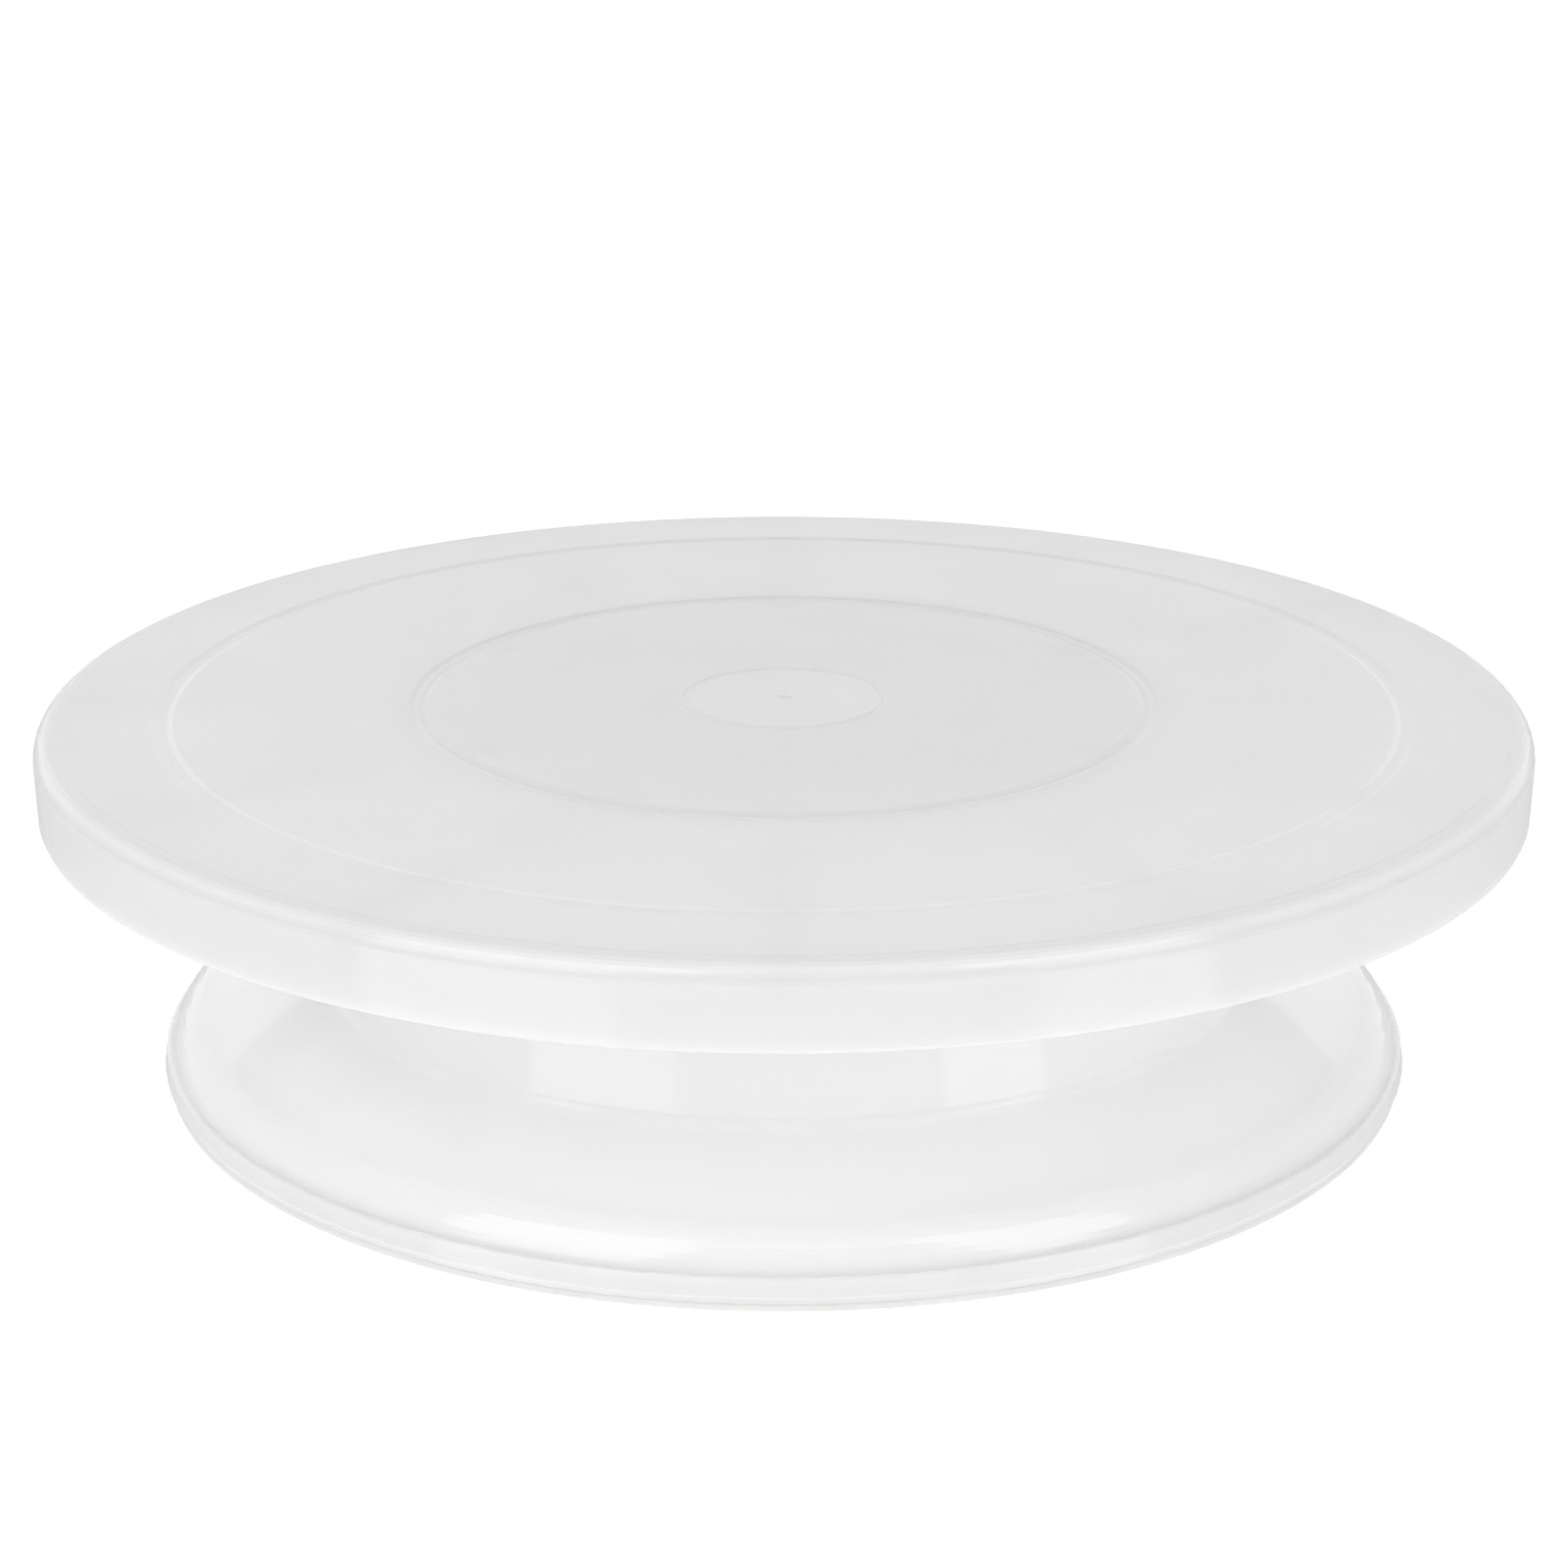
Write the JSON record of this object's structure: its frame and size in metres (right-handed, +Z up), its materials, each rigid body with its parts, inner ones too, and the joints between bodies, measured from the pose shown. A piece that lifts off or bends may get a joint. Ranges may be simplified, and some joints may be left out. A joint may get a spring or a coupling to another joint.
{
  "type": "cake turntable",
  "caption": "Round plastic cake-decorating turntable: a rimmed plate spins on a caged ball race over a bell-shaped base with an anti-slip foot ring.",
  "frame": {"origin": "centre of the footprint, on the surface that the object stands on", "axes": "+Z up along the axis that the plate spins about; +Y points away from the viewer"},
  "size_m": [0.2798, 0.2798, 0.07],
  "materials": {
    "plate_plastic": "satin top face, semi-gloss edge, milky white",
    "base_plastic": "glossy milky white",
    "grip": "matte soft elastomer, translucent white",
    "acetal": "smooth natural acetal",
    "ball_steel": "polished bearing steel",
    "pin_steel": "ground steel",
    "zinc_steel": "bright zinc plate"
  },
  "bodies": {
    "base": {"base_shell": "base_plastic", "upper_bush": "acetal", "lower_bush": "acetal", "thrust_washer": "acetal", "hub_cap": "base_plastic", "anti_slip_ring": "grip"},
    "plate": {"top_plate": "plate_plastic", "spindle": "pin_steel", "plain_washer": "zinc_steel", "spring_washer": "zinc_steel", "retaining_screw": "zinc_steel"},
    "cage": {"ball_cage": "acetal"},
    "ball_1": {"bearing_ball_1": "ball_steel"},
    "ball_2": {"bearing_ball_2": "ball_steel"},
    "ball_3": {"bearing_ball_3": "ball_steel"},
    "ball_4": {"bearing_ball_4": "ball_steel"},
    "ball_5": {"bearing_ball_5": "ball_steel"},
    "ball_6": {"bearing_ball_6": "ball_steel"}
  },
  "joints": [
    {"name": "plate_spin", "type": "hinge", "parent": "base", "child": "plate", "pos_m": [0, 0, 0.064], "axis": [0, 0, 1], "continuous": true},
    {"name": "cage_spin", "type": "hinge", "parent": "base", "child": "cage", "pos_m": [0, 0, 0.063], "axis": [0, 0, 1], "continuous": true},
    {"name": "ball_1_roll", "type": "hinge", "parent": "cage", "child": "ball_1", "pos_m": [0.05586, 0.03225, 0.063], "axis": [0.866, 0.5, 0], "continuous": true},
    {"name": "ball_2_roll", "type": "hinge", "parent": "cage", "child": "ball_2", "pos_m": [0, 0.0645, 0.063], "axis": [0, 1, 0], "continuous": true},
    {"name": "ball_3_roll", "type": "hinge", "parent": "cage", "child": "ball_3", "pos_m": [-0.05586, 0.03225, 0.063], "axis": [-0.866, 0.5, 0], "continuous": true},
    {"name": "ball_4_roll", "type": "hinge", "parent": "cage", "child": "ball_4", "pos_m": [-0.05586, -0.03225, 0.063], "axis": [-0.866, -0.5, 0], "continuous": true},
    {"name": "ball_5_roll", "type": "hinge", "parent": "cage", "child": "ball_5", "pos_m": [0, -0.0645, 0.063], "axis": [0, -1, 0], "continuous": true},
    {"name": "ball_6_roll", "type": "hinge", "parent": "cage", "child": "ball_6", "pos_m": [0.05586, -0.03225, 0.063], "axis": [0.866, -0.5, 0], "continuous": true}
  ],
  "couplings": [
    {"joint": "cage_spin", "follows": "plate_spin", "ratio": 0.5},
    {"joint": "ball_1_roll", "follows": "plate_spin", "ratio": -8.0625},
    {"joint": "ball_2_roll", "follows": "plate_spin", "ratio": -8.0625},
    {"joint": "ball_3_roll", "follows": "plate_spin", "ratio": -8.0625},
    {"joint": "ball_4_roll", "follows": "plate_spin", "ratio": -8.0625},
    {"joint": "ball_5_roll", "follows": "plate_spin", "ratio": -8.0625},
    {"joint": "ball_6_roll", "follows": "plate_spin", "ratio": -8.0625}
  ]
}
